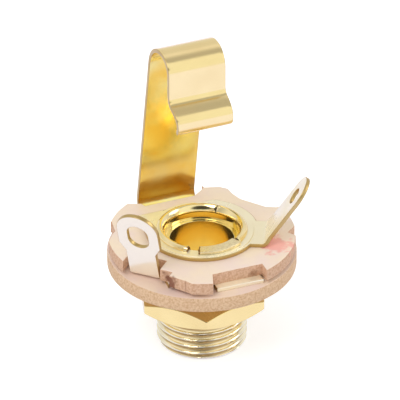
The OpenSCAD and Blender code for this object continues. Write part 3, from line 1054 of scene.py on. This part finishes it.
def make_wafers():
    shoulder = (*turned(SHOULDER_EDGE + 0.4, 0.0, TIP_LUG_ANGLE), COVER_Z + 0.5)
    stains_and_shade = (
        ((6.4, -4.9, GROUND_Z), 3.7, 0.48, 0.65, (0.88, 0.3, 0.26)),
        # A dark patch at the tail's right end.
        ((2.6, -8.0, COVER_Z + 0.2), 1.5, 0.6, 0.7, (0.3, 0.13, 0.06)),
        # Painted shade in the recess round the tip lug's shoulder.
        (shoulder, 1.8, 0.45, 0.85, (0.2, 0.06, 0.03)),
    )
    top = new_piece("top_fibre_wafer", *rough_wafer("top_wafer", COVER_Z, GROUND_Z, 0.06, 0.12, 0.05), sharp=50)
    top.data.materials.append(fibre("top_fibre", (0.92, 0.76, 0.57), (0.76, 0.5, 0.34), (0.58, 0.33, 0.2), stains_and_shade))
    low = new_piece("lower_fibre_wafer", *rough_wafer("lower_wafer", WAFER_Z, CONTACT_Z, 0.04, 0.12, 0.1), sharp=50)
    low.data.materials.append(fibre("lower_fibre", (0.84, 0.65, 0.49), (0.8, 0.56, 0.36), (0.62, 0.38, 0.21)))
    for piece, node in ((top, "top_wafer"), (low, "lower_wafer")):
        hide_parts(node)
        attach(piece, "socket")


def finish_sleeve():
    """The sleeve keeps its CAD shape and gets a dull brown fibre finish."""
    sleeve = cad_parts["insulating_sleeve"]
    material = fibre("sleeve_fibre", (0.3, 0.14, 0.07), (0.28, 0.13, 0.06), (0.2, 0.08, 0.04))
    for slot in sleeve.material_slots:
        slot.material = material


# Studio


CAMERA_AZIMUTH = math.radians(-22)
CAMERA_ELEVATION = math.radians(32)
CAMERA_RIGHT = Vector((math.cos(CAMERA_AZIMUTH), math.sin(CAMERA_AZIMUTH), 0.0))
CAMERA_BACK = Vector((
    math.sin(CAMERA_AZIMUTH) * math.cos(CAMERA_ELEVATION),
    -math.cos(CAMERA_AZIMUTH) * math.cos(CAMERA_ELEVATION),
    math.sin(CAMERA_ELEVATION),
))
CAMERA_UP = CAMERA_BACK.cross(CAMERA_RIGHT)
STUDIO_FRONT = (0.0, -0.906, 0.423)
CARD_WIDER = 0.62
# Where the floor's reflection gets a painted dark patch, beside the thread toward the camera.
PAINTED_SHADE_AT = Vector((*to_xy(math.degrees(CAMERA_AZIMUTH) - 90, 9.5), -THREAD_LEN))
PHOTO_WIDTH = 42.06
CAMERA_DISTANCE = 1600.0


def make_camera():
    """The photograph's view: from the front, 32 degrees above, with almost no perspective."""
    data = bpy.data.cameras.new("camera")
    data.sensor_width = 36
    data.lens = 36 * CAMERA_DISTANCE / PHOTO_WIDTH
    data.clip_start = 0.01
    data.clip_end = 50
    camera = bpy.data.objects.new("camera", data)
    bpy.context.scene.collection.objects.link(camera)
    centre = Vector((0, 0, WAFER_Z)) - 0.2 * CAMERA_RIGHT + 6.47 * CAMERA_UP
    turn = Matrix((CAMERA_RIGHT, CAMERA_UP, CAMERA_BACK)).transposed().to_4x4()
    camera.matrix_world = Matrix.Translation((centre + CAMERA_DISTANCE * CAMERA_BACK) * MM) @ turn
    bpy.context.scene.camera = camera


def make_floor():
    """A plain white surface under the threaded end, white where the camera sees it unshaded. In reflections it
    glows by itself, with painted shade round the socket, a painted bright disc under the bore and a painted dark
    patch beside the thread.
    """
    size = 1500 * MM
    mesh = bpy.data.meshes.new("floor")
    z = -THREAD_LEN * MM
    mesh.from_pydata([(-size, -size, z), (size, -size, z), (size, size, z), (-size, size, z)], [], [(0, 1, 2, 3)])
    floor = bpy.data.objects.new("floor", mesh)
    bpy.context.scene.collection.objects.link(floor)
    material, shader = new_material("floor_white", (0.9, 0.9, 0.9), 0.0, 0.9)
    shader.inputs["Specular IOR Level"].default_value = 0.0
    rays = add_node(material, "ShaderNodeLightPath")
    glossy = rays.outputs["Is Glossy Ray"]
    link(material, mix_colour(material, glossy, (0.85, 0.85, 0.85), (0.1, 0.1, 0.1)), shader, "Base Color")
    glow = mix_colour(material, rays.outputs["Is Camera Ray"], (0, 0, 0), (0.42, 0.42, 0.42))
    far = add_node(
        material, "ShaderNodeVectorMath", {0: place(material), 1: (0, 0, -THREAD_LEN)}, operation="DISTANCE"
    )
    far = add_node(material, "ShaderNodeMath", {0: far.outputs["Value"], 1: 20.0}, operation="DIVIDE")
    # Painted shade in the floor's reflection round the socket, and a painted bright disc inside the bore.
    painted_floor_shade = ramp(material, far.outputs["Value"], [(0.19, 1.05), (0.23, 0.8), (0.45, 0.85), (0.7, 1.0)])
    reflected = mix_colour(material, 1.0, painted_floor_shade, (0.92, 0.96, 1.3), "MULTIPLY")
    toward = add_node(
        material, "ShaderNodeVectorMath", {0: place(material), 1: tuple(-PAINTED_SHADE_AT)}, operation="ADD"
    )
    gap = add_node(material, "ShaderNodeVectorMath", {0: toward.outputs["Vector"]}, operation="LENGTH")
    reach = add_node(material, "ShaderNodeMath", {0: gap.outputs["Value"], 1: 20.0}, operation="DIVIDE")
    # A painted dark patch in the floor's reflection beside the thread.
    patch = ramp(material, reach.outputs["Value"], [(0.1, (0.3, 0.27, 0.24)), (0.26, (1, 1, 1))])
    reflected = mix_colour(material, 1.0, reflected, patch, "MULTIPLY")
    glow = mix_colour(material, glossy, glow, reflected)
    link(material, glow, shader, "Emission Color")
    shader.inputs["Emission Strength"].default_value = 1.0
    mesh.materials.append(material)


def make_world():
    """A soft studio: bright low walls, a dimmer ceiling and the dark spot of the camera."""
    world = bpy.data.worlds.new("studio")
    bpy.context.scene.world = world
    world.use_nodes = True
    tree = world.node_tree
    background = tree.nodes["Background"]
    at = add_node(world, "ShaderNodeTexCoord")
    direction = at.outputs["Generated"]
    forward = add_node(
        world, "ShaderNodeVectorMath", {0: direction, 1: STUDIO_FRONT}, operation="DOT_PRODUCT"
    )
    half = add_node(
        world, "ShaderNodeMath", {0: forward.outputs["Value"], 1: 0.5, 2: 0.5},
        operation="MULTIPLY_ADD",
    )
    seen = ramp(world, half.outputs["Value"], [
        (0.07, (0.8, 0.8, 0.8)),
        (0.25, (0.75, 0.75, 0.77)),
        (0.4, (0.88, 0.88, 0.95)),
        (0.5, (0.85, 0.85, 0.9)),
        (0.68, (0.52, 0.52, 0.55)),
        (0.83, (0.52, 0.52, 0.55)),
        (0.87, (0.97, 1.0, 1.0)),
    ])
    offset = add_node(
        world, "ShaderNodeVectorMath", {0: direction, 1: tuple(CAMERA_BACK)}, operation="SUBTRACT"
    )
    across = add_node(
        world, "ShaderNodeVectorMath", {0: offset.outputs["Vector"], 1: tuple(CAMERA_RIGHT)},
        operation="DOT_PRODUCT",
    )
    widen = add_node(
        world, "ShaderNodeMath", {0: across.outputs["Value"], 1: CARD_WIDER}, operation="MULTIPLY"
    )
    along = add_node(
        world, "ShaderNodeVectorMath", {0: offset.outputs["Vector"], 1: tuple(CAMERA_UP)},
        operation="DOT_PRODUCT",
    )
    ellipse = add_node(
        world, "ShaderNodeCombineXYZ", {"X": widen.outputs["Value"], "Y": along.outputs["Value"]}
    )
    gap = add_node(world, "ShaderNodeVectorMath", {0: ellipse.outputs["Vector"]}, operation="LENGTH")
    facing = add_node(
        world, "ShaderNodeVectorMath", {0: direction, 1: tuple(CAMERA_BACK)}, operation="DOT_PRODUCT"
    )
    behind = add_node(world, "ShaderNodeMath", {0: facing.outputs["Value"], 1: 0.0}, operation="LESS_THAN")
    clear = add_node(world, "ShaderNodeMath", {0: gap.outputs["Value"], 1: behind.outputs["Value"]})
    card = ramp(world, clear.outputs["Value"], [(0.24, 0.05), (0.32, 1.0)])
    seen = mix_colour(world, 1.0, seen, card, "MULTIPLY")
    rays = add_node(world, "ShaderNodeLightPath")
    colour = mix_colour(world, rays.outputs["Is Camera Ray"], (0.72, 0.72, 0.72), (1, 1, 1))
    colour = mix_colour(world, rays.outputs["Is Glossy Ray"], colour, seen)
    tree.links.new(colour, background.inputs["Color"])
    background.inputs["Strength"].default_value = 1.0


def make_lights():
    """One large soft lamp from the upper left front and a weaker one from the right."""
    for name, place_mm, size, power in (
        ("key", (-260, -160, 420), 260, 0.8),
        ("fill", (320, -120, 220), 200, 0.25),
    ):
        data = bpy.data.lights.new(name, "AREA")
        data.shape = "DISK"
        data.size = size * MM
        data.energy = power
        lamp = bpy.data.objects.new(name, data)
        bpy.context.scene.collection.objects.link(lamp)
        spot = Vector(place_mm)
        lamp.location = spot * MM
        lamp.rotation_euler = spot.to_track_quat("Z", "Y").to_euler()


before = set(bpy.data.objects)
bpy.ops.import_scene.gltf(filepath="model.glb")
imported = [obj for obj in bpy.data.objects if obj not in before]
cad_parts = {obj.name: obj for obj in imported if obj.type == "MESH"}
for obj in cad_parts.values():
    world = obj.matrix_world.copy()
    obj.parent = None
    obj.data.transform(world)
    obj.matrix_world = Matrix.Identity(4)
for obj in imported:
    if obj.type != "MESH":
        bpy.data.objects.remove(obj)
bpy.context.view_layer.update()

make_camera()
make_world()
make_floor()
make_lights()
make_bushing(
    gold("turned_gold", TURNED_GOLD, roughness=0.14, thread=True),
    gold("bore_gold", BORE_GOLD, roughness=0.1, grain=0.06, stretch=(3.0, 3.0, 0.15), metallic=0.98),
    gold("torn_metal_and_shade", TORN_METAL_AND_SHADE, roughness=0.5),
    gold("pressed_gold", PRESSED_GOLD, roughness=0.3, grain=0.6, mottle=0.35),
)
make_nut(gold("nut_gold", NUT_GOLD, roughness=0.2), gold("nut_chamfer_shade", NUT_CHAMFER_SHADE, roughness=0.3))
cut_edge = gold("cut_edge", EDGE_GOLD, roughness=0.35)
make_tip_contact(
    gold("strip_gold", roughness=0.17, ends=(
        (TIP_LUG_ANGLE, 6.9, PINK_TIN, 0.3),
        # The tail's end takes a paler, less metallic finish as a painted highlight.
        (270.0, 7.6, TAIL_HIGHLIGHT_GOLD, 0.45),
    )),
    cut_edge,
    # The leaf's tinted face: a painted reflection tint with pale patches of painted sheen.
    gold("leaf_reflection_tint", LEAF_REFLECTION_GOLD, roughness=0.2, patches=LEAF_SHEEN_PALE),
)
make_ground_lug(
    gold("plate_gold", PLATE_GOLD, roughness=0.3, metallic=0.5, ends=((GROUND_LUG_ANGLE, 6.6, TIN, 0.35),)),
    cut_edge,
)
make_wafers()
finish_sleeve()

bpy.context.scene.view_settings.view_transform = "Standard"
